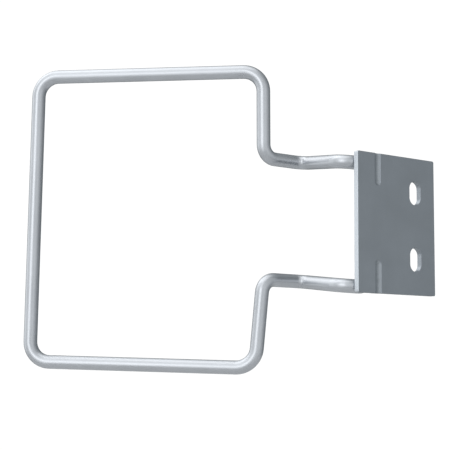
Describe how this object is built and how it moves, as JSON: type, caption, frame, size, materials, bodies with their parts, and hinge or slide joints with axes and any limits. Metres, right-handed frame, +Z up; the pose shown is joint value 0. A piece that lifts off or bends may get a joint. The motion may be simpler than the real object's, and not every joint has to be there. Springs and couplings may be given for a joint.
{
  "type": "ladder stabilizer bracket",
  "caption": "Bent round-rod hoop on a slotted mounting plate, fixed at a roof edge to keep a leaning ladder from sliding.",
  "frame": {"origin": "centre of the two fastener slots, on the plate's clean mounting face", "axes": "-Y is the mounting face's outward normal, the rod stands off along +Y, +Z is up along the slots and the plate's long side, +X points from the hoop to the plate's slotted edge"},
  "size_m": [0.2905, 0.2217, 0.272],
  "materials": {
    "powder_coat": "light grey semi-gloss powder coat",
    "powder_coat_plate": "light grey semi-gloss powder coat on flat bar",
    "coated_weld": "powder coat over a rippled weld bead"
  },
  "bodies": {
    "root": {"hoop_rod": "powder_coat", "mounting_plate": "powder_coat_plate", "upper_slit_weld": "coated_weld", "lower_slit_weld": "coated_weld", "upper_foot_welds": "coated_weld", "lower_foot_welds": "coated_weld"}
  },
  "joints": []
}
